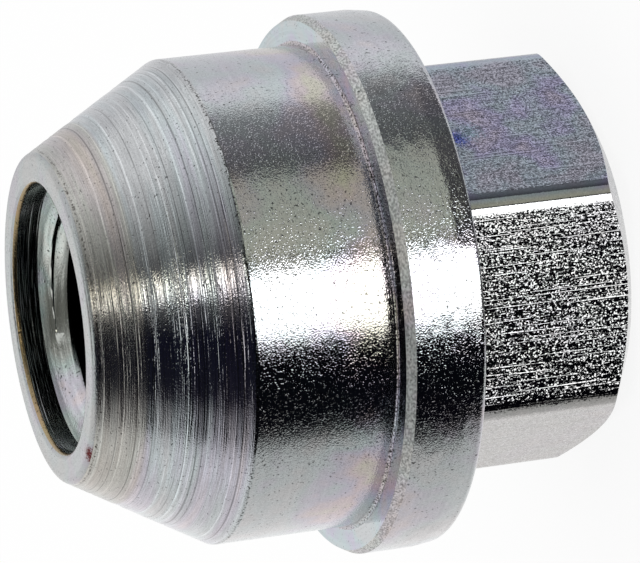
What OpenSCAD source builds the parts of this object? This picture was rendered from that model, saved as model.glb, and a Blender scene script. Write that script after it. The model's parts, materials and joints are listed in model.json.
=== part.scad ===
// Open-ended lug nut: conical seat, plain barrel, collar and hexagon, turned and headed in one piece.
// It stands on its hexagon end. z = 0 is the end face, and +Z runs along the thread towards the nose.
// All sizes are in millimetres.

/* [Thread] */
// Nominal diameter of the metric fine thread
thread_d = 12; // [10:0.5:13]
// Pitch of the thread
thread_pitch = 1.5; // [1:0.25:2]
// How far the countersink at the end face reaches past the thread's major radius
countersink_margin = 0.4; // [0.1:0.1:1]
// Included angle of that countersink
countersink_angle = 90; // [60:5:120]

/* [Hexagon] */
// Width across the flats
across_flats = 19; // [17:0.5:22]
// Height from the end face to the collar
hex_height = 9.7; // [7:0.1:16]
// Rounding of the six corners
hex_corner_r = 1.2; // [0.3:0.1:2]
// Width of the end chamfer, measured inwards from a flat
end_chamfer_w = 0.95; // [0.3:0.05:1.5]
// Slope of the end chamfer, measured from the end face
end_chamfer_angle = 30; // [15:1:45]

/* [Collar] */
// How far the collar stands out from the barrel
collar_projection = 1.5; // [1:0.1:3]
// Thickness of the collar along the axis
collar_t = 4.2; // [3:0.1:7]
// Width of the bevel on the collar's seat-side edge, measured inwards
collar_bevel_w = 0.25; // [0.1:0.05:0.6]
// Length of that bevel along the axis
collar_bevel_l = 0.45; // [0.1:0.05:1]
// How far the collar falls away towards its rear edge
collar_fall = 0.15; // [0.05:0.05:0.4]
// Length of that fall along the axis
collar_fall_l = 1.2; // [0.6:0.1:1.6]
// Rounding of the collar's rear edge
collar_rear_r = 0.35; // [0.1:0.05:0.5]

/* [Barrel] */
// Diameter of the barrel
barrel_d = 24.8; // [23:0.1:28]
// Length of the barrel from the collar to the seat
barrel_l = 7.2; // [4:0.1:15]
// Fillet between the barrel and the collar
barrel_fillet_r = 0.3; // [0.1:0.05:0.6]

/* [Seat and nose] */
// Included angle of the conical seat
seat_angle = 60; // [50:1:90]
// Rounding between the seat and the barrel
seat_edge_r = 0.3; // [0.1:0.05:1]
// Width of the nose face, from the counterbore to the seat's cone
nose_face_w = 1.45; // [0.8:0.05:2]
// Rounding between the nose face and the seat
nose_edge_r = 0.35; // [0.1:0.05:0.8]
// Diameter of the counterbore in the nose
counterbore_d = 13.7; // [13.2:0.1:15]
// Depth of the counterbore's straight wall
counterbore_depth = 1.4; // [0.5:0.05:3]
// Included angle of the cone that leads from the counterbore to the thread
lead_in_angle = 120; // [90:5:150]

/* [Hidden] */
$fn = 96;

// Minor radius of an internal metric thread
minor_r = thread_d / 2 - 5 / 8 * thread_pitch * sin(60);
countersink_r = thread_d / 2 + countersink_margin;
countersink_depth = (countersink_r - minor_r) / tan(countersink_angle / 2);

counterbore_r = counterbore_d / 2;
lead_in_depth = (counterbore_r - minor_r) / tan(lead_in_angle / 2);

flat_r = across_flats / 2;
end_face_r = flat_r - end_chamfer_w;
corner_reach = flat_r / cos(30);

barrel_r = barrel_d / 2;
collar_r = barrel_r + collar_projection;
nose_r = counterbore_r + nose_face_w;

// Heights along the axis, from the end face up
collar_rear_z = hex_height;
collar_front_z = collar_rear_z + collar_t;
seat_z = collar_front_z + barrel_l;
nose_z = seat_z + (barrel_r - nose_r) / tan(seat_angle / 2);
counterbore_z = nose_z - counterbore_depth;

// Cutters reach this far past the faces that they cut
past = 1;
end_chamfer_reach = corner_reach + past;
end_chamfer_top = (end_chamfer_reach - end_face_r) * tan(end_chamfer_angle);

// Turned outline: each corner is [radius, height, rounding], listed anticlockwise
turned_corners = [
    [0, collar_rear_z, 0],
    [collar_r - collar_fall, collar_rear_z, collar_rear_r],
    [collar_r, collar_rear_z + collar_fall_l, 0],
    [collar_r, collar_front_z - collar_bevel_l, 0],
    [collar_r - collar_bevel_w, collar_front_z, 0],
    [barrel_r, collar_front_z, barrel_fillet_r],
    [barrel_r, seat_z, seat_edge_r],
    [nose_r, nose_z, nose_edge_r],
    [0, nose_z, 0]
];

function point(corners, i) = [for (k = [0, 1]) corners[(i + len(corners)) % len(corners)][k]];
function rounding(corners, i) = corners[i][2];
function heading(a, b) = (b - a) / norm(b - a);
function back(corners, i) = heading(point(corners, i), point(corners, i - 1));
function ahead(corners, i) = heading(point(corners, i), point(corners, i + 1));
function half_angle(corners, i) = acos(back(corners, i) * ahead(corners, i)) / 2;
function is_outer(corners, i) = cross(ahead(corners, i), back(corners, i)) > 0;

// Distance from a corner to the two points where its rounding starts
function setback(corners, i) = rounding(corners, i) / tan(half_angle(corners, i));

// Centre of a corner's rounding
function arc_centre(corners, i) =
    let (middle = back(corners, i) + ahead(corners, i))
    point(corners, i) + middle / norm(middle) * rounding(corners, i) / sin(half_angle(corners, i));

// A sharp corner gives one point, a rounded one the two ends of its arc
function corner_points(corners, i) =
    rounding(corners, i) == 0
    ? [point(corners, i)]
    : [for (way = [back(corners, i), ahead(corners, i)]) point(corners, i) + way * setback(corners, i)];

module arc_discs(corners, outer) {
    for (i = [0:len(corners) - 1])
        if (rounding(corners, i) > 0 && is_outer(corners, i) == outer)
            translate(arc_centre(corners, i)) circle(r = rounding(corners, i));
}

// Flat outline with its corners rounded: discs fill the outer corners and clear the inner ones
module rounded_outline(corners) {
    difference() {
        union() {
            polygon([for (i = [0:len(corners) - 1]) each corner_points(corners, i)]);
            arc_discs(corners, true);
        }
        arc_discs(corners, false);
    }
}

// Hexagon with two corners on the X axis
module hexagon_outline() {
    rounded_outline([for (a = [0:60:300]) [corner_reach * cos(a), corner_reach * sin(a), hex_corner_r]]);
}

// Hexagon head with its end corners turned off; it runs into the collar to join it
module hexagon_head() {
    head_top = collar_rear_z + collar_t / 2;
    intersection() {
        linear_extrude(height = head_top) hexagon_outline();
        union() {
            cylinder(h = end_chamfer_top, r1 = end_face_r, r2 = end_chamfer_reach);
            translate([0, 0, end_chamfer_top]) cylinder(h = head_top - end_chamfer_top, r = end_chamfer_reach);
        }
    }
}

module turned_body() {
    rotate_extrude() rounded_outline(turned_corners);
}

// Hole through the nut: countersink, thread bore at its minor diameter, lead-in cone and counterbore
module thread_hole() {
    rotate_extrude() polygon([
        [0, -past],
        [countersink_r, -past],
        [countersink_r, 0],
        [minor_r, countersink_depth],
        [minor_r, counterbore_z - lead_in_depth],
        [counterbore_r, counterbore_z],
        [counterbore_r, nose_z + past],
        [0, nose_z + past]
    ]);
}

module lug_nut() {
    color("#c4c6c8")
    difference() {
        union() {
            hexagon_head();
            turned_body();
        }
        thread_hole();
    }
}

lug_nut();
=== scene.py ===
# Lug nut in zinc-plated steel: turned seat, barrel and collar, forged hexagon and a cut thread.
# The nut stands on its hexagon end. Sizes are in millimetres here and turned to metres when the mesh is made.
import json
import math
import random

import bpy
from mathutils import Euler, Matrix, Vector


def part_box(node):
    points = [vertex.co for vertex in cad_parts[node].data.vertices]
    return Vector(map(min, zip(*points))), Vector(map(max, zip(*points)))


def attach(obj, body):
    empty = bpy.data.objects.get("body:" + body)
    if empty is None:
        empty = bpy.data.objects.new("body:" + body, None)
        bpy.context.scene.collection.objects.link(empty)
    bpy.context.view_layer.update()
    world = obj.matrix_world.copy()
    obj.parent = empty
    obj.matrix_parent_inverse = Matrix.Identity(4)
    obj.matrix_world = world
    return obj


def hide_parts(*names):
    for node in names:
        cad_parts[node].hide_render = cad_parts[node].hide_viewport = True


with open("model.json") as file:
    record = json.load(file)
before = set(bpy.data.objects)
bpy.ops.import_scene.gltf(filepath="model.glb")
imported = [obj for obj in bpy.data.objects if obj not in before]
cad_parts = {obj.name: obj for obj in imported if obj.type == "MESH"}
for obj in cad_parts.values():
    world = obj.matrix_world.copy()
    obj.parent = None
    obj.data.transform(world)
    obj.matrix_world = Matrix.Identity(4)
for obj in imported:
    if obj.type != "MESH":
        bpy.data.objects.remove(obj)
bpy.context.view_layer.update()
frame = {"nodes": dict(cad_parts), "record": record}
mounts = {m["name"]: m for m in frame["record"]["mounts"]}
mm = 0.001
print("frame loaded:", sorted(frame["nodes"]))


# Adds a node. An input may be a value, a socket, or another node, whose first output is used
def addNode(tree, kind, inputs=None, **settings):
    node = tree.nodes.new(kind)
    for name, value in settings.items():
        setattr(node, name, value)
    for key, value in (inputs or {}).items():
        if isinstance(value, bpy.types.Node):
            value = value.outputs[0]
        if isinstance(value, bpy.types.NodeSocket):
            tree.links.new(value, node.inputs[key])
        else:
            node.inputs[key].default_value = value
    return node


# sRGB hex value to linear colour
def linearColour(hexValue):
    shares = [int(hexValue[i:i + 2], 16) / 255 for i in (1, 3, 5)]
    return [s / 12.92 if s <= 0.04045 else ((s + 0.055) / 1.055) ** 2.4 for s in shares] + [1.0]


def newMaterial(name):
    material = bpy.data.materials.new(name)
    material.use_nodes = True
    material.node_tree.nodes.clear()
    return material, material.node_tree


# Camera: the photo's angle, which sees the standing nut rolled onto its side
cameraView = {
    "azimuth": 13.664,              # degrees round the nut from -Y
    "elevation": 17.475,            # degrees above the floor
    "roll": -97.03,                 # degrees about the line of sight
    "aim": (1.174, -3.999, 14.978),  # point at the picture's middle
    "distance": 224.67,
    "lens": 251.24,                 # mm on a 36 mm wide sensor
}


def makeCamera(view):
    turn = Euler((math.radians(90 - view["elevation"]), 0, math.radians(view["azimuth"]))).to_matrix()
    turn = turn @ Matrix.Rotation(math.radians(view["roll"]), 3, "Z")
    data = bpy.data.cameras.new("camera")
    data.lens = view["lens"]
    data.sensor_width = 36
    data.clip_start = 0.01
    camera = bpy.data.objects.new("camera", data)
    place = (Vector(view["aim"]) + turn.col[2] * view["distance"]) * mm
    camera.matrix_world = Matrix.Translation(place) @ turn.to_4x4()
    bpy.context.scene.collection.objects.link(camera)
    bpy.context.scene.camera = camera


makeCamera(cameraView)
print("camera set")

# Studio: a white room, a pale floor, and cards that only show as reflections in the metal
studio = {
    "floorRadius": 2000,
    "floorWhiteShare": 0.88,       # how much of the floor's white is its own, so its shadow stays soft
    "cardDistance": 600,
    "cardGap": 4,                  # each card hangs this much behind the one before it
    "cardStep": 1.5,               # degrees
}
# Each card, front to back: degrees round from the camera, elevations, soft edges (start, end, low, high),
# greys at its start and end, and strength
cards = [
    ("upperSoftbox", (-1, 19), (34, 48), (6, 8, 4, 4), ("#ffffff", "#fff6dc"), 4.0),
    ("frontSoftbox", (-24.2, 9.0), (-75, -2), (3, 2, 1, 4), ("#b4b4b4", "#ffffff"), 5.2),
    ("rimShade", (6, 15), (-75, -2), (1, 3, 1, 4), ("#141414", "#30302e"), 1.0),
    ("gapCard", (-84, 18), (-12, 33), (10, 6, 4, 4), ("#101014", "#161618"), 1.0),
    ("gapShade", (12, 66), (7, 22), (6, 20, 3, 3), ("#1c1c20", "#5c5c70"), 1.0),
    ("upperDarkCard", (-20, 42), (24, 58), (12, 16, 6, 6), ("#3a3a3c", "#707070"), 1.0),
    ("underCard", (7, 101), (-75, -23), (1, 9, 1, 5), ("#3a3836", "#6a6a6e"), 1.0),
    ("blackCard", (-80, -20), (-75, 24), (10, 1, 1, 6), ("#0e0e14", "#06060c"), 1.0),
    ("greyCard", (7, 56), (-75, 24), (1, 3, 1, 6), ("#cecdbc", "#bbbdb2"), 1.0),
    ("darkCard", (48, 100), (-75, -3), (1, 9, 1, 4), ("#3d3d3c", "#a2a2a4"), 1.0),
    ("backCard", (116, 178), (-75, 20), (5, 1, 1, 6), ("#e6e6e8", "#e6e6e8"), 1.0),
    ("lowCard", (-160, -66), (-75, 26), (5, 1, 1, 6), ("#f3efee", "#b8b8b5"), 1.22),
    ("upperBlackCard", (-104, -8), (23, 66), (44, 3, 5, 6), ("#2a2a32", "#101020"), 1.0),
    ("nadirCard", (-180, 180), (-89, -62), (1, 1, 1, 8), ("#2a2826", "#2a2826"), 1.0),
    ("zenithCard", (135, 225), (58, 88), (20, 20, 10, 2), ("#6a6a66", "#6a6a66"), 1.0),
    ("upperGreyCard", (-12, 91), (16, 80), (3, 48, 4, 10), ("#959694", "#9c9d9c"), 1.0),
]


def makeFloor():
    material, tree = newMaterial("pale_floor")
    rays = addNode(tree, "ShaderNodeLightPath").outputs
    seen = addNode(tree, "ShaderNodeMath", {0: rays["Is Camera Ray"], 1: rays["Is Glossy Ray"]},
                   operation="ADD")
    seen = addNode(tree, "ShaderNodeMath", {0: seen, 1: rays["Is Transmission Ray"]}, operation="ADD")
    share = addNode(tree, "ShaderNodeMath", {0: seen, 1: studio["floorWhiteShare"]}, operation="MULTIPLY")
    matt = addNode(tree, "ShaderNodeBsdfDiffuse", {"Color": linearColour("#fafafa")})
    white = addNode(tree, "ShaderNodeEmission", {"Color": linearColour("#ffffff")})
    mixed = addNode(tree, "ShaderNodeMixShader", {0: share, 1: matt, 2: white})
    addNode(tree, "ShaderNodeOutputMaterial", {"Surface": mixed})
    bpy.ops.mesh.primitive_circle_add(vertices=96, radius=studio["floorRadius"] * mm, fill_type="NGON")
    floor = bpy.context.object
    floor.name = "floor"
    floor.data.materials.append(material)
    floor.visible_glossy = False    # the metal shows the room, as a nut held in the air would
    floor.visible_shadow = False


def makeCard(number, name, turns, lifts, soft, greys, strength):
    reach = (studio["cardDistance"] + number * studio["cardGap"]) * mm
    (start, end), (low, high) = turns, lifts
    across = max(2, round((end - start) / studio["cardStep"]))
    along = max(2, round((high - low) / studio["cardStep"]))
    points, cover, tone = [], [], []
    for i in range(across + 1):
        for j in range(along + 1):
            turn = start + (end - start) * i / across
            lift = low + (high - low) * j / along
            a, e = math.radians(cameraView["azimuth"] + turn), math.radians(lift)
            out = reach * math.cos(e)
            points.append((out * math.sin(a), -out * math.cos(a), reach * math.sin(e)))
            inside = (turn - start, end - turn, lift - low, high - lift)
            cover.append(min([1] + [depth / edge for depth, edge in zip(inside, soft)]))
            tone.append(i / across)
    row = along + 1
    faces = [(i * row + j, (i + 1) * row + j, (i + 1) * row + j + 1, i * row + j + 1)
             for i in range(across) for j in range(along)]
    mesh = bpy.data.meshes.new(name)
    mesh.from_pydata(points, [], faces)
    mesh.attributes.new("cover", "FLOAT", "POINT").data.foreach_set("value", cover)
    mesh.attributes.new("tone", "FLOAT", "POINT").data.foreach_set("value", tone)
    material, tree = newMaterial(name)
    share = addNode(tree, "ShaderNodeAttribute", attribute_name="cover").outputs["Fac"]
    tone = addNode(tree, "ShaderNodeAttribute", attribute_name="tone").outputs["Fac"]
    grey = addNode(tree, "ShaderNodeMix", {0: tone, 6: linearColour(greys[0]), 7: linearColour(greys[1])},
                   data_type="RGBA").outputs[2]
    glow = addNode(tree, "ShaderNodeEmission", {"Color": grey, "Strength": strength})
    clear = addNode(tree, "ShaderNodeBsdfTransparent")
    mixed = addNode(tree, "ShaderNodeMixShader", {0: share, 1: clear, 2: glow})
    addNode(tree, "ShaderNodeOutputMaterial", {"Surface": mixed})
    material.cycles.emission_sampling = "NONE"
    mesh.materials.append(material)
    card = bpy.data.objects.new(name, mesh)
    card.visible_camera = card.visible_diffuse = card.visible_shadow = card.visible_transmission = False
    bpy.context.scene.collection.objects.link(card)


def makeWorld():
    world = bpy.data.worlds.new("white_room")
    world.use_nodes = True
    tree = world.node_tree
    tree.nodes.clear()
    white = addNode(tree, "ShaderNodeBackground", {"Color": linearColour("#ffffff"), "Strength": 1.0})
    addNode(tree, "ShaderNodeOutputWorld", {"Surface": white})
    bpy.context.scene.world = world


makeFloor()
makeWorld()
for number, card in enumerate(cards):
    makeCard(number, *card)
bpy.context.scene.view_settings.view_transform = "Standard"
print("studio set with", len(cards), "cards")

# Nut: sizes as the solid has them, unless a comment says otherwise
nutSizes = {
    "threadPitch": 1.5,
    "threadMajor": 6.0,             # radius at the thread's root
    "threadTurn": 0.225,            # share of a turn by which the thread's start is moved round
    "threadSteps": 32,              # rows to a pitch where it runs out in the lead-in cone, a multiple of 16
    "sinkTurns": 1.5,               # turns above the countersink in which the rows lie close too
    "leadInAngle": 120,             # of the cone between the counterbore and the thread
    "countersink": 6.4,             # radius at the end face, sloping at 45 degrees
    "acrossFlats": 19.0,
    "hexHeight": 9.7,
    "hexCorner": 1.2,
    "endChamfer": 0.95,             # width inwards from a flat
    "endChamferAngle": 30,
    "collarRadius": 13.9,
    "collarThickness": 4.2,
    "collarBevel": (0.25, 0.45),    # inwards, along the axis
    "collarFall": (0.15, 1.2),      # inwards, along the axis
    "collarRear": 0.35,
    "creaseSoftness": 0.2,          # how far the light turns on each side of the fall's edge
    "barrelRadius": 12.4,
    "barrelLength": 7.2,
    "barrelFillet": 0.16,           # tighter than the solid's, as the thin line there looks
    "seatEdge": 0.3,
    "noseRadius": 8.3,
    "noseEdge": 0.35,
    "mouthEdge": 0.3,               # rounder than the solid's, as it catches the light
    "columns": 240,
    "cornerCrowding": 0.6,          # how far the columns draw together at the hexagon's corners
    "grooveSpacing": 0.13,          # turned lines on the seat
    "grooveDepth": 0.025,           # of the deepest; most are much shallower
    "grooveSeed": 11,
    "weld": 0.0005,                 # points closer than this are joined
    "sharpAngle": 24,               # edges that turn more than this stay sharp
}


# A rounded corner as a few points on its arc, and one just outside each end to keep the faces beside it flat
def roundCorner(before, corner, after, rounding, steps=5, outside=0.04):
    here = Vector(corner)
    back, ahead = (Vector(before) - here).normalized(), (Vector(after) - here).normalized()
    half = back.angle(ahead) / 2
    centre = here + (back + ahead).normalized() * rounding / math.sin(half)
    first = (here + back * rounding / math.tan(half) - centre).normalized()
    last = (here + ahead * rounding / math.tan(half) - centre).normalized()
    arc = [centre + first.slerp(last, i / steps) * rounding for i in range(steps + 1)]
    return [arc[0] + back * outside] + arc + [arc[-1] + ahead * outside]


finishNames = ["seat", "barrel", "collar", "edge", "face", "hexagon", "nose", "rim", "mouth", "thread"]

# Where crest, flanks and root of the thread meet, as shares of a pitch
threadCorners = (0.125, 0.4375, 0.5625, 0.875)


# Rows of the thread from the top down, each as its height where a turn starts and where it ends, less the
# pitch that it climbs. They lie close where the thread runs out, and else only at its corners. In one turn
# beside each run-out they draw together to the corners, so that every turn meets the next point for point
def threadRows(s, top, leadEnd):
    pitch, steps = s["threadPitch"], s["threadSteps"]
    corners = [round(share * steps) for share in threadCorners]

    def stepAt(height):
        return math.floor((height / pitch + s["threadTurn"]) * steps)

    def cornerBelow(step):
        while step % steps not in corners:
            step -= 1
        return step

    leadStart = cornerBelow(stepAt(leadEnd - pitch))
    sinkDepth = s["countersink"] - s["threadMajor"]
    sinkStart = cornerBelow(stepAt(sinkDepth + s["sinkTurns"] * pitch))
    rows = []
    for step in range(stepAt(top) + 1, stepAt(-pitch) - 1, -1):
        corner = cornerBelow(step)
        if step >= leadStart + steps:
            rows.append((step, step))
        elif step >= leadStart:
            rows.append((corner, step))
        elif step == corner:
            rows.append((step, step))
        elif step < sinkStart and step % 2 == 0:
            rows.append((step, corner if step > sinkStart - steps else step))
    return [[(step / steps - s["threadTurn"]) * pitch for step in row] for row in rows]


# The half section as rows of (radius, height, follow, finish), from the end face round to the thread.
# A row of the thread has the two heights of its turn instead
def nutSection(s):
    rows = []
    plain, onHexagon, onChamfer, onThread = (0, 0, 0), (1, 0, 0), (1, 1, 0), (0, 0, 1)

    def add(radius, height, finish, follow=plain):
        rows.append((radius, height, follow, finishNames.index(finish)))

    flat = s["acrossFlats"] / 2
    slope = math.tan(math.radians(s["endChamferAngle"]))
    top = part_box("lug_nut")[1].z / mm
    rear = s["hexHeight"]
    front = rear + s["collarThickness"]
    seat = front + s["barrelLength"]
    mouth = mounts["mouth_counterbore"]["dims"]
    foot = top - mouth["length_mm"]
    coneWidth = mouth["r_mm"] - mounts["thread"]["dims"]["r_mm"]
    leadEnd = foot - coneWidth / math.tan(math.radians(s["leadInAngle"] / 2))

    add(s["countersink"], 0, "hexagon")
    add(flat - s["endChamfer"], 0, "hexagon")
    add(flat, s["endChamfer"] * slope, "hexagon", onChamfer)
    add(flat, rear, "collar", onHexagon)

    # Collar, barrel and seat
    fallIn, fallLength = s["collarFall"]
    bevelIn, bevelLength = s["collarBevel"]
    outer, barrel, nose = s["collarRadius"], s["barrelRadius"], s["noseRadius"]
    backEdge, fallEnd = (outer - fallIn, rear), (outer, rear + fallLength)
    for p in roundCorner((flat, rear), backEdge, fallEnd, s["collarRear"]):
        add(*p, "collar")
    creaseWay = (Vector(fallEnd) - Vector(backEdge)).normalized() * s["creaseSoftness"]
    add(*(Vector(fallEnd) - creaseWay), "collar")
    add(*fallEnd, "collar")
    add(outer, fallEnd[1] + s["creaseSoftness"], "collar")
    add(outer, front - bevelLength, "edge")
    add(outer - bevelIn, front, "face")
    for p in roundCorner((outer, front), (barrel, front), (barrel, seat), s["barrelFillet"]):
        add(*p, "barrel")
    for p in roundCorner((barrel, front), (barrel, seat), (nose, top), s["seatEdge"], 3):
        add(*p, "seat")
    noseArc = roundCorner((barrel, seat), (nose, top), (0, top), s["noseEdge"])

    # Turned lines on the seat, each cut a little inwards
    draw = random.Random(s["grooveSeed"])
    start, end = Vector(rows[-1][:2]), noseArc[0]
    inwards = Vector((start.y - end.y, end.x - start.x)).normalized()
    lines = round((end - start).length / s["grooveSpacing"])
    for i in range(1, lines):
        p = start.lerp(end, i / lines) + inwards * s["grooveDepth"] * draw.random() ** 3
        add(*p, "seat")
    for p in noseArc:
        add(*p, "nose")

    # Counterbore, then the lead-in cone and the thread, down to below the end face
    mouthRadius = mouth["r_mm"]
    mouthArc = roundCorner((nose, top), (mouthRadius, top), (mouthRadius, foot), s["mouthEdge"], 4)
    for finish, points in (("nose", mouthArc[:3]), ("rim", mouthArc[3:-2]), ("mouth", mouthArc[-2:])):
        for p in points:
            add(*p, finish)
    add(mouthRadius, foot, "thread")
    for turnStart, turnEnd in threadRows(s, foot, leadEnd):
        add(turnStart, turnEnd, "thread", onThread)
    return rows, foot, leadEnd


# Geometry Nodes tree: turns the section's rows round the axis, and bends them to the hexagon and the helix
def nutTree(finishes):
    tree = bpy.data.node_groups.new("turned_nut", "GeometryNodeTree")
    sockets = tree.interface
    sockets.new_socket("Geometry", in_out="OUTPUT", socket_type="NodeSocketGeometry")
    sockets.new_socket("Section", in_out="INPUT", socket_type="NodeSocketGeometry")
    sockets.new_socket("Columns", in_out="INPUT", socket_type="NodeSocketInt")
    for name in ("Corner Crowding", "Flat Radius", "Corner Rounding", "Chamfer Slope", "Thread Pitch",
                 "Thread Minor", "Thread Major", "Thread Turn", "Thread Top", "Lead In End", "Lead In Slope",
                 "Countersink", "Weld"):
        sockets.new_socket(name, in_out="INPUT", socket_type="NodeSocketFloat")
    given = addNode(tree, "NodeGroupInput").outputs
    mathNode = "ShaderNodeMath"

    # A grid with one row for each point of the section, and one more of each to close the rings
    section = given["Section"]
    rowCount = addNode(tree, "GeometryNodeAttributeDomainSize", {"Geometry": section}).outputs["Point Count"]
    gridRows = addNode(tree, mathNode, {0: rowCount, 1: 1.0}, operation="ADD")
    gridColumns = addNode(tree, mathNode, {0: given["Columns"], 1: 1.0}, operation="ADD")
    grid = addNode(tree, "GeometryNodeMeshGrid", {"Vertices X": gridColumns, "Vertices Y": gridRows})
    index = addNode(tree, "GeometryNodeInputIndex")
    row = addNode(tree, mathNode, {0: index, 1: gridRows}, operation="MODULO")
    row = addNode(tree, mathNode, {0: row, 1: rowCount}, operation="MODULO")
    column = addNode(tree, mathNode, {0: index, 1: gridRows}, operation="DIVIDE")
    column = addNode(tree, mathNode, {0: column}, operation="FLOOR")
    turn = addNode(tree, mathNode, {0: column, 1: given["Columns"]}, operation="DIVIDE")

    # Angle, with the columns drawn towards the hexagon's six corners
    even = addNode(tree, mathNode, {0: turn, 1: math.tau}, operation="MULTIPLY")
    six = addNode(tree, mathNode, {0: even, 1: 6.0}, operation="MULTIPLY")
    wave = addNode(tree, mathNode, {0: six}, operation="SINE")
    pull = addNode(tree, mathNode, {0: given["Corner Crowding"], 1: -1 / 6}, operation="MULTIPLY")
    angle = addNode(tree, mathNode, {0: wave, 1: pull, 2: even}, operation="MULTIPLY_ADD")
    turned = addNode(tree, mathNode, {0: angle, 1: math.tau}, operation="DIVIDE")

    # What the section says of this row
    position = addNode(tree, "GeometryNodeInputPosition")
    place = addNode(tree, "GeometryNodeSampleIndex", {"Geometry": section, "Value": position, "Index": row},
                    data_type="FLOAT_VECTOR")
    place = addNode(tree, "ShaderNodeSeparateXYZ", {0: place}).outputs
    follow = addNode(tree, "GeometryNodeInputNamedAttribute", {"Name": "follow"}, data_type="FLOAT_VECTOR")
    follow = addNode(tree, "GeometryNodeSampleIndex", {"Geometry": section, "Value": follow, "Index": row},
                     data_type="FLOAT_VECTOR")
    follow = addNode(tree, "ShaderNodeSeparateXYZ", {0: follow}).outputs

    # Distance to the rounded hexagon's outline at this angle
    fromCorner = addNode(tree, mathNode, {0: angle, 1: math.pi / 6, 2: -math.pi / 6}, operation="WRAP")
    fromCorner = addNode(tree, mathNode, {0: fromCorner}, operation="ABSOLUTE")
    fromFlat = addNode(tree, mathNode, {0: math.pi / 6, 1: fromCorner}, operation="SUBTRACT")
    fromFlat = addNode(tree, mathNode, {0: fromFlat}, operation="COSINE")
    flatReach = addNode(tree, mathNode, {0: given["Flat Radius"], 1: fromFlat}, operation="DIVIDE")
    centre = addNode(tree, mathNode, {0: given["Flat Radius"], 1: given["Corner Rounding"]},
                     operation="SUBTRACT")
    centre = addNode(tree, mathNode, {0: centre, 1: math.cos(math.pi / 6)}, operation="DIVIDE")
    sine = addNode(tree, mathNode, {0: fromCorner}, operation="SINE")
    cosine = addNode(tree, mathNode, {0: fromCorner}, operation="COSINE")
    aside = addNode(tree, mathNode, {0: centre, 1: sine}, operation="MULTIPLY")
    aside = addNode(tree, mathNode, {0: aside, 1: 2.0}, operation="POWER")
    square = addNode(tree, mathNode, {0: given["Corner Rounding"], 1: 2.0}, operation="POWER")
    beyond = addNode(tree, mathNode, {0: square, 1: aside}, operation="SUBTRACT")
    beyond = addNode(tree, mathNode, {0: beyond}, operation="SQRT")
    roundReach = addNode(tree, mathNode, {0: centre, 1: cosine, 2: beyond}, operation="MULTIPLY_ADD")
    halfRound = addNode(tree, mathNode, {0: given["Corner Rounding"], 1: 0.5}, operation="MULTIPLY")
    tangent = addNode(tree, mathNode, {0: given["Corner Rounding"], 1: math.cos(math.pi / 6), 2: centre},
                      operation="MULTIPLY_ADD")
    tangent = addNode(tree, mathNode, {0: halfRound, 1: tangent}, operation="ARCTAN2")
    onRound = addNode(tree, mathNode, {0: fromCorner, 1: tangent}, operation="LESS_THAN")
    hexReach = addNode(tree, "ShaderNodeMix", {"Factor": onRound, "A": flatReach, "B": roundReach})

    # Radius and height outside, where the end chamfer climbs towards the corners
    radius = addNode(tree, "ShaderNodeMix", {"Factor": follow["X"], "A": place["X"], "B": hexReach})
    climb = addNode(tree, mathNode, {0: hexReach, 1: given["Flat Radius"]}, operation="SUBTRACT")
    climb = addNode(tree, mathNode, {0: climb, 1: given["Chamfer Slope"]}, operation="MULTIPLY")
    height = addNode(tree, mathNode, {0: climb, 1: follow["Y"], 2: place["Z"]}, operation="MULTIPLY_ADD")

    # Thread: each row climbs one pitch in a turn, and runs out in the lead-in cone and the countersink
    helix = addNode(tree, "ShaderNodeMix", {"Factor": turned, "A": place["X"], "B": place["Z"]})
    helix = addNode(tree, mathNode, {0: turned, 1: given["Thread Pitch"], 2: helix},
                    operation="MULTIPLY_ADD")
    helix = addNode(tree, "ShaderNodeClamp", {"Value": helix, "Min": 0.0, "Max": given["Thread Top"]})
    phase = addNode(tree, mathNode, {0: helix, 1: given["Thread Pitch"]}, operation="DIVIDE")
    phase = addNode(tree, mathNode, {0: phase, 1: turned}, operation="SUBTRACT")
    phase = addNode(tree, mathNode, {0: phase, 1: given["Thread Turn"]}, operation="ADD")
    phase = addNode(tree, mathNode, {0: phase, 1: 0.5}, operation="PINGPONG")
    bore = addNode(tree, "ShaderNodeMapRange",
                   {"Value": phase, "From Min": threadCorners[0], "From Max": threadCorners[1],
                    "To Min": given["Thread Minor"], "To Max": given["Thread Major"]})
    sink = addNode(tree, mathNode, {0: given["Countersink"], 1: helix}, operation="SUBTRACT")
    bore = addNode(tree, mathNode, {0: bore, 1: sink}, operation="MAXIMUM")
    lead = addNode(tree, mathNode, {0: helix, 1: given["Lead In End"]}, operation="SUBTRACT")
    lead = addNode(tree, mathNode, {0: lead, 1: given["Lead In Slope"], 2: given["Thread Minor"]},
                   operation="MULTIPLY_ADD")
    bore = addNode(tree, mathNode, {0: bore, 1: lead}, operation="MAXIMUM")
    radius = addNode(tree, "ShaderNodeMix", {"Factor": follow["Z"], "A": radius, "B": bore})
    height = addNode(tree, "ShaderNodeMix", {"Factor": follow["Z"], "A": height, "B": helix})

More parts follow.
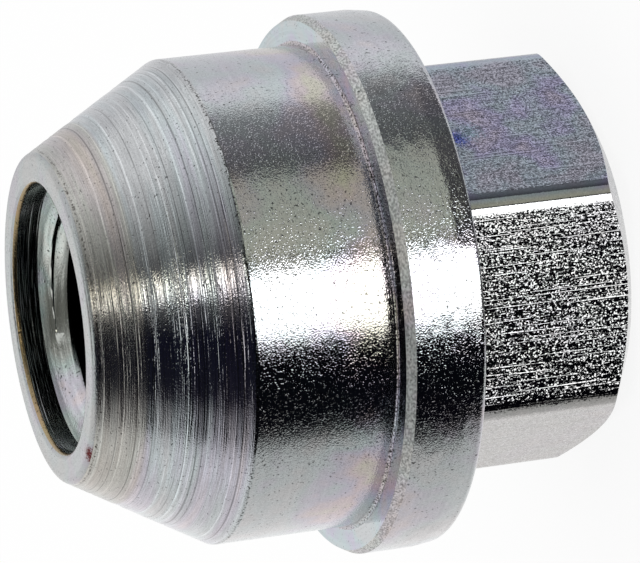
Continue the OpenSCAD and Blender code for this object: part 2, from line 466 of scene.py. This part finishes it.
    # Finish of each face, from the row that it starts at
    faceRow = addNode(tree, mathNode, {0: index, 1: rowCount}, operation="MODULO")
    finish = addNode(tree, "GeometryNodeInputNamedAttribute", {"Name": "finish"}, data_type="INT")
    finish = addNode(tree, "GeometryNodeSampleIndex",
                     {"Geometry": section, "Value": finish, "Index": faceRow}, data_type="INT")
    made = addNode(tree, "GeometryNodeStoreNamedAttribute",
                   {"Geometry": grid, "Name": "finish", "Value": finish}, data_type="INT", domain="FACE")
    cosine = addNode(tree, mathNode, {0: angle}, operation="COSINE")
    sine = addNode(tree, mathNode, {0: angle}, operation="SINE")
    x = addNode(tree, mathNode, {0: radius, 1: cosine}, operation="MULTIPLY")
    y = addNode(tree, mathNode, {0: radius, 1: sine}, operation="MULTIPLY")
    spot = addNode(tree, "ShaderNodeCombineXYZ", {"X": x, "Y": y, "Z": height})
    made = addNode(tree, "GeometryNodeSetPosition", {"Geometry": made, "Position": spot})
    made = addNode(tree, "GeometryNodeMergeByDistance", {"Geometry": made, "Distance": given["Weld"]})
    made = addNode(tree, "GeometryNodeRealizeInstances", {"Geometry": made})
    which = addNode(tree, "GeometryNodeInputNamedAttribute", {"Name": "finish"}, data_type="INT")
    for number, material in enumerate(finishes):
        mine = addNode(tree, "FunctionNodeCompare", {2: which, 3: number}, data_type="INT", operation="EQUAL")
        made = addNode(tree, "GeometryNodeSetMaterial",
                       {"Geometry": made, "Selection": mine, "Material": material})
    addNode(tree, "NodeGroupOutput", {0: made})
    return tree


def makeNut(s, section, finishes):
    rows, foot, leadEnd = section
    mesh = bpy.data.meshes.new("nut_section")
    mesh.from_pydata([(r * mm, 0, z * mm) for r, z, follow, finish in rows], [], [])
    follows = [value for row in rows for value in row[2]]
    mesh.attributes.new("follow", "FLOAT_VECTOR", "POINT").data.foreach_set("vector", follows)
    mesh.attributes.new("finish", "INT", "POINT").data.foreach_set("value", [row[3] for row in rows])
    maker = bpy.data.objects.new("nut_section", mesh)
    bpy.context.scene.collection.objects.link(maker)
    modifier = maker.modifiers.new("turned_nut", "NODES")
    modifier.node_group = nutTree(finishes)
    values = {
        "Columns": s["columns"],
        "Corner Crowding": s["cornerCrowding"],
        "Flat Radius": s["acrossFlats"] / 2 * mm,
        "Corner Rounding": s["hexCorner"] * mm,
        "Chamfer Slope": math.tan(math.radians(s["endChamferAngle"])),
        "Thread Pitch": s["threadPitch"] * mm,
        "Thread Minor": mounts["thread"]["dims"]["r_mm"] * mm,
        "Thread Major": s["threadMajor"] * mm,
        "Thread Turn": s["threadTurn"],
        "Thread Top": foot * mm,
        "Lead In End": leadEnd * mm,
        "Lead In Slope": math.tan(math.radians(s["leadInAngle"] / 2)),
        "Countersink": s["countersink"] * mm,
        "Weld": s["weld"] * mm,
    }
    for socket in modifier.node_group.interface.items_tree:
        if socket.in_out == "INPUT" and socket.name in values:
            modifier[socket.identifier] = values[socket.name]
    graph = bpy.context.evaluated_depsgraph_get()
    plain = bpy.data.meshes.new_from_object(maker.evaluated_get(graph))
    bpy.data.objects.remove(maker)
    plain.name = "zinc_nut"
    plain.shade_smooth()
    plain.set_sharp_from_angle(angle=math.radians(s["sharpAngle"]))
    nut = bpy.data.objects.new("zinc_nut", plain)
    bpy.context.scene.collection.objects.link(nut)
    print("nut made:", len(plain.vertices), "points,", len(plain.polygons), "faces")
    return nut


# Bright zinc plate with a thin clear passivate, over turned and forged steel: a pale grey metal with faint
# rainbow tints, tool lines that streak the light, and a grain that breaks up the edges of reflections.
# Each pattern: stretch along (x, y, section), size in millimetres, level below which it is flat, depth in
# thousandths of a millimetre, and how much it shades the colour. Grain, lines and sparkling flats are drawn a
# few times coarser than the real ones, so that they show
pits = ((1, 1, 1), 0.13, 0.72, -12.0, 0.7)
zincPlate = {
    "colour": "#bebfc1",
    "tints": ("#bcc1c3", "#a9c6ca", "#b6add0", "#d4b4bd", "#d0c8a4"),
    "tintShare": 0.2,
    "tintStretch": (1, 1, 1),
    "tintSize": 3.5,
    "tintSpan": (0.4, 0.8),             # levels of the clouds at the first and last tint
    "rimTint": (0.0, 1.0, 0.0),         # height where the tints are strongest, reach, and by how much
    "rimShift": 1.2,                    # how far that also moves them along the row of tints
    "tintAndSheenFlat": None,                 # a flat with more tint, a painted bluish sheen over the plate's own tint: its angle, start and end, and how much more
    "metallic": 1.0,
    "roughness": 0.08,
    "roughEnd": None,                   # heights between which it roughens, how far, and its colour and share
    "patterns": (
        ((0.02, 0.02, 1), 0.15, 0.0, 1.0, 0.03),
        ((1, 1, 1), 0.075, 0.0, 6.5, 0.08),
        ((1, 1, 1), 0.08, 0.62, 12.0, 0.0),
        pits,
    ),
    "bandShare": 0.0,                   # how much the relief changes from one turned band to the next
    "bandSize": 1.1,
    "bandSpan": (0.35, 0.65),           # levels of the bands where the relief is least and most
    "shadeSpan": (0.3, 0.7),            # levels of a pattern between which it shades the colour
    "shadeStep": 0.1,                   # or, for one that is flat below a level, how far above it
    "facets": None,                     # size and lean of small flats that sparkle
    "burnished": None,                  # a corner worn smooth: its angle, start and end, and the relief left
    "boreShadeColour": "#bebfc1",            # colour of the painted shade far down the bore
    "boreShadeFade": 0.3,                    # millimetres over which that starts
    "ragged": 0.12,                     # size of the breaks in the rings and of the stains' frayed edges
    "ringBreaks": 3.4,                  # how broken the rings are
    "markBreaks": 2.0,                  # how frayed the stains are
    "coverSpan": (1.2, 2.0),            # where rings and stains are full and where they end, in their sizes
    "rings": (),                        # broken dark lines, some of them painted shade: height, width and colour
    "marks": (),                        # stains: place, size and colour
}
# Seat: cut and raised tool lines that run round the cone and break off
turnedSeat = (
    ((0.003, 0.003, 1), 0.19, 0.62, -20.0, 0.45),
    ((0.004, 0.004, 1), 0.2, 0.61, 20.0, -0.3),
    ((0.05, 0.05, 1), 0.07, 0.0, 11.0, 0.1),
    ((1, 1, 1), 0.08, 0.0, 5.0, 0.1),
    pits,
)
# Hexagon: short streaks along the flats, and sharp specks; the last, raised specks are also lightened, a
# painted glint
forgedFlat = (
    ((1, 1, 0.06), 0.2, 0.0, 6.0, 0.05),
    ((1, 1, 0.02), 0.1, 0.66, 14.0, 0.0),
    ((1, 1, 1), 0.09, 0.0, 5.0, 0.08),
    # raised specks, lightened in colour as painted sparkle
    ((1, 1, 0.4), 0.09, 0.66, 8.0, -0.1),
)
# Collar: shallow dents under the plate's own grain
rolledCollar = (
    ((0.6, 0.6, 1), 0.6, 0.5, 22.0, 0.0),
    *zincPlate["patterns"],
)
# Counterbore: deep tool rings
boreWall = (
    ((0.01, 0.01, 1), 0.12, 0.6, 34.0, 0.0),
    ((0.06, 0.06, 1), 0.07, 0.0, 12.0, 0.1),
    pits,
)
# Lead-in cone and thread: fine cut lines and a soft sheen
leadInCone = (
    ((0.05, 0.05, 1), 0.08, 0.0, 9.0, 0.14),
    ((1, 1, 1), 0.08, 0.0, 3.0, 0.06),
    pits,
)
# Collar's front face: a mirror with faint lines
smoothFace = (
    ((0.02, 0.02, 1), 0.1, 0.0, 1.5, 0.05),
    pits,
)
# Collar's front edge: dull and crumbly
roughEdge = (
    ((1, 1, 1), 0.14, 0.0, 14.0, 0.35),
    pits,
)
zincZones = {
    # Seat: the dark ring at its edge with the barrel, at height 21.1, is painted shade
    "seat": {"patterns": turnedSeat, "bandShare": 0.7, "bandSize": 1.6, "tintShare": 0.25, "tintSize": 2.0,
             "tintStretch": (0.1, 0.1, 1), "rings": ((21.1, 0.2, "#1f1d1b"), (27.86, 0.12, "#4c4843")),
             "roughEnd": (25.7, 25.9, 0.2, "#aaa08e", 0.45)},
    # Barrel: its dark ring in the fillet by the collar's face is painted shade in the crease
    "barrel": {"rimTint": (15.3, 3.2, 0.19), "rings": ((13.95, 0.3, "#211f1d"),), "facets": (0.06, 0.35)},
    "collar": {"patterns": rolledCollar, "facets": (0.06, 0.35)},
    "face": {"tintShare": 0.5, "patterns": smoothFace},
    "edge": {"colour": "#b6b4b0", "metallic": 0.6, "roughness": 0.4, "patterns": roughEdge},
    # Hexagon: the extra tint on its flat at -30 degrees is painted bluish sheen
    "hexagon": {"colour": "#a4a4a1", "tints": ("#a4a3b8", "#9aabbc", "#a19cc8", "#b0a4ba", "#a5a4b8"),
                "tintShare": 0.1, "tintAndSheenFlat": (-30, 9.3, 9.4, 0.55), "roughness": 0.06,
                "patterns": forgedFlat, "facets": (0.065, 1.2), "burnished": (-60, 10.62, 10.7, 0.1),
                "marks": (((7.95, -5.23, 7.7), 0.75, "#3d4c9c"), ((8.13, -4.92, 6.96), 0.8, "#8d9fae"))},
    "nose": {"colour": "#a8a7a5", "roughness": 0.2, "tintShare": 0.2,
             "marks": (((-5.5, -6.32, 28.06), 0.54, "#560406"), ((-5.85, -6.15, 27.86), 0.54, "#560406"))},
    "rim": {"colour": "#a08a5e", "roughness": 0.25, "tintShare": 0.1},
    "mouth": {"colour": "#888c8a", "tintShare": 0.1, "roughness": 0.15, "patterns": boreWall},
    # Deep down, the thread's colour turns dark: painted shade inside the bore
    "thread": {"colour": "#c2c4b8", "tintShare": 0.45, "roughness": 0.15, "patterns": leadInCone,
               "boreShadeColour": "#1c1b1a"},
}


# Direction out from the axis at an angle from +X
def facing(degrees):
    return (math.cos(math.radians(degrees)), math.sin(math.radians(degrees)), 0)


def zincFinish(name, boreShadeTop, boreShadeBottom):
    look = {**zincPlate, **zincZones[name]}
    material, tree = newMaterial("zinc_plate_" + name)
    mathNode, vectorNode, rangeNode = "ShaderNodeMath", "ShaderNodeVectorMath", "ShaderNodeMapRange"
    noiseNode, mixNode = "ShaderNodeTexNoise", "ShaderNodeMix"
    place = addNode(tree, "ShaderNodeTexCoord").outputs["Object"]
    place = addNode(tree, vectorNode, {0: place, "Scale": 1 / mm}, operation="SCALE")
    part = addNode(tree, "ShaderNodeSeparateXYZ", {0: place}).outputs
    flat = addNode(tree, vectorNode, {0: place, 1: (1, 1, 0)}, operation="MULTIPLY")
    radius = addNode(tree, vectorNode, {0: flat}, operation="LENGTH").outputs["Value"]
    along = addNode(tree, mathNode, {0: part["Z"], 1: radius}, operation="SUBTRACT")
    turned = addNode(tree, "ShaderNodeCombineXYZ", {"X": part["X"], "Y": part["Y"], "Z": along})

    # Rainbow tints in soft clouds
    stretched = addNode(tree, vectorNode, {0: turned, 1: look["tintStretch"]}, operation="MULTIPLY")
    cloud = addNode(tree, noiseNode, {"Vector": stretched, "Scale": 1 / look["tintSize"], "Detail": 3.0})
    height, reach, gain = look["rimTint"]
    off = addNode(tree, mathNode, {0: part["Z"], 1: height}, operation="SUBTRACT")
    off = addNode(tree, mathNode, {0: off}, operation="ABSOLUTE")
    rim = addNode(tree, rangeNode, {"Value": off, "From Min": 0.0, "From Max": reach,
                                    "To Min": gain, "To Max": 0.0})
    cloud = addNode(tree, mathNode, {0: rim, 1: look["rimShift"], 2: cloud}, operation="MULTIPLY_ADD")
    tinted = addNode(tree, mathNode, {0: rim, 1: look["tintShare"]}, operation="ADD")
    # One flat gets more tint, as a painted bluish sheen
    if look["tintAndSheenFlat"]:
        angle, start, end, gain = look["tintAndSheenFlat"]
        out = addNode(tree, vectorNode, {0: place, 1: facing(angle)}, operation="DOT_PRODUCT")
        more = addNode(tree, rangeNode, {"Value": out.outputs["Value"], "From Min": start, "From Max": end,
                                         "To Max": gain})
        tinted = addNode(tree, mathNode, {0: tinted, 1: more}, operation="ADD")
    ramp = addNode(tree, "ShaderNodeValToRGB", {0: cloud})
    stops = ramp.color_ramp.elements
    first, last = look["tintSpan"]
    for number, tint in enumerate(look["tints"]):
        spot = first + (last - first) * number / (len(look["tints"]) - 1)
        stop = stops[number] if number < 2 else stops.new(spot)
        stop.position = spot
        stop.color = linearColour(tint)
    colour = addNode(tree, mixNode, {0: tinted, 6: linearColour(look["colour"]), 7: ramp},
                     data_type="RGBA").outputs[2]

    # Roughness, which may grow towards one end
    rough = look["roughness"]
    if look["roughEnd"]:
        low, high, most, hexValue, share = look["roughEnd"]
        end = addNode(tree, rangeNode, {"Value": part["Z"], "From Min": low, "From Max": high,
                                        "To Max": share})
        rough = addNode(tree, rangeNode, {"Value": part["Z"], "From Min": low, "From Max": high,
                                          "To Min": look["roughness"], "To Max": most})
        colour = addNode(tree, mixNode, {0: end, 6: colour, 7: linearColour(hexValue)},
                         data_type="RGBA").outputs[2]

    # Tool lines and grain: each pattern shades the colour and adds to the relief
    relief = 0.0
    for stretch, size, level, depth, share in look["patterns"]:
        stretched = addNode(tree, vectorNode, {0: turned, 1: stretch}, operation="MULTIPLY")
        pattern = addNode(tree, noiseNode, {"Vector": stretched, "Scale": 1 / size, "Detail": 0.0})
        raised = addNode(tree, rangeNode, {"Value": pattern, "From Min": level, "From Max": 1.0})
        relief = addNode(tree, mathNode, {0: raised, 1: depth, 2: relief}, operation="MULTIPLY_ADD")
        low, high = (level, level + look["shadeStep"]) if level else look["shadeSpan"]
        shade = addNode(tree, rangeNode, {"Value": pattern, "From Min": low, "From Max": high,
                                          "To Min": 1.0 if level else 1 + share, "To Max": 1 - share})
        colour = addNode(tree, vectorNode, {0: colour, "Scale": shade}, operation="SCALE")
    if look["bandShare"]:
        bands = addNode(tree, vectorNode, {0: turned, 1: (0, 0, 1)}, operation="MULTIPLY")
        bands = addNode(tree, noiseNode, {"Vector": bands, "Scale": 1 / look["bandSize"], "Detail": 1.0})
        low, high = look["bandSpan"]
        bands = addNode(tree, rangeNode, {"Value": bands, "From Min": low, "From Max": high,
                                          "To Min": 1 - look["bandShare"], "To Max": 1 + look["bandShare"]})
        relief = addNode(tree, mathNode, {0: relief, 1: bands}, operation="MULTIPLY")

    # Broken rings, stains, and painted shade far down the bore
    spots = []
    full, gone = look["coverSpan"]
    ragged = addNode(tree, noiseNode, {"Vector": place, "Scale": 1 / look["ragged"], "Detail": 1.0})
    # Dark rings: the ones at the seat's edge and in the barrel's fillet are painted shade
    for height, size, hexValue in look["rings"]:
        off = addNode(tree, mathNode, {0: part["Z"], 1: height}, operation="SUBTRACT")
        off = addNode(tree, mathNode, {0: off}, operation="ABSOLUTE")
        far = addNode(tree, mathNode, {0: ragged, 1: look["ringBreaks"] * size, 2: off},
                      operation="MULTIPLY_ADD")
        spots.append((far, full * size, gone * size, hexValue))
    for middle, size, hexValue in look["marks"]:
        off = addNode(tree, vectorNode, {0: place, 1: middle}, operation="DISTANCE").outputs["Value"]
        far = addNode(tree, mathNode, {0: ragged, 1: look["markBreaks"] * size, 2: off},
                      operation="MULTIPLY_ADD")
        spots.append((far, full * size, gone * size, hexValue))
    # Painted shade deep in the bore, between the lead-in cone and one pitch above the end face
    if look["boreShadeColour"] != zincPlate["boreShadeColour"]:
        above = addNode(tree, mathNode, {0: part["Z"], 1: boreShadeTop}, operation="SUBTRACT")
        below = addNode(tree, mathNode, {0: boreShadeBottom, 1: part["Z"]}, operation="SUBTRACT")
        far = addNode(tree, mathNode, {0: above, 1: below}, operation="MAXIMUM")
        spots.append((far, -look["boreShadeFade"], 0.0, look["boreShadeColour"]))
    for far, solid, edge, hexValue in spots:
        cover = addNode(tree, rangeNode, {"Value": far, "From Min": solid, "From Max": edge,
                                          "To Min": 1.0, "To Max": 0.0})
        colour = addNode(tree, mixNode, {0: cover, 6: colour, 7: linearColour(hexValue)},
                         data_type="RGBA").outputs[2]

    # Relief, less where a corner is burnished, over the small flats that sparkle
    keep = 1.0
    if look["burnished"]:
        angle, start, end, left = look["burnished"]
        out = addNode(tree, vectorNode, {0: place, 1: facing(angle)}, operation="DOT_PRODUCT")
        keep = addNode(tree, rangeNode, {"Value": out.outputs["Value"], "From Min": start, "From Max": end,
                                         "To Min": 1.0, "To Max": left})
        relief = addNode(tree, mathNode, {0: relief, 1: keep}, operation="MULTIPLY")
    bump = addNode(tree, "ShaderNodeBump", {"Height": relief, "Distance": mm * mm, "Strength": 1.0})
    if look["facets"]:
        size, lean = look["facets"]
        cells = addNode(tree, "ShaderNodeTexVoronoi", {"Vector": place, "Scale": 1 / size}).outputs["Color"]
        cells = addNode(tree, vectorNode, {0: cells, 1: (0.5, 0.5, 0.5)}, operation="SUBTRACT")
        squares = addNode(tree, vectorNode, {0: cells, 1: cells}, operation="MULTIPLY")
        cells = addNode(tree, vectorNode, {0: cells, 1: squares}, operation="MULTIPLY")
        lean = addNode(tree, mathNode, {0: keep, 1: lean}, operation="MULTIPLY")
        cells = addNode(tree, vectorNode, {0: cells, "Scale": lean}, operation="SCALE")
        plain = addNode(tree, "ShaderNodeNewGeometry").outputs["Normal"]
        leaning = addNode(tree, vectorNode, {0: plain, 1: cells}, operation="ADD")
        leaning = addNode(tree, vectorNode, {0: leaning}, operation="NORMALIZE")
        tree.links.new(leaning.outputs[0], bump.inputs["Normal"])
    shader = addNode(tree, "ShaderNodeBsdfPrincipled", {"Base Color": colour, "Metallic": look["metallic"],
                                                        "Roughness": rough, "Normal": bump})
    addNode(tree, "ShaderNodeOutputMaterial", {"Surface": shader})
    return material


section = nutSection(nutSizes)
leadInEnd = section[2]
finishes = [zincFinish(name, leadInEnd, nutSizes["threadPitch"]) for name in finishNames]
nut = makeNut(nutSizes, section, finishes)
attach(nut, "root")
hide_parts("lug_nut")
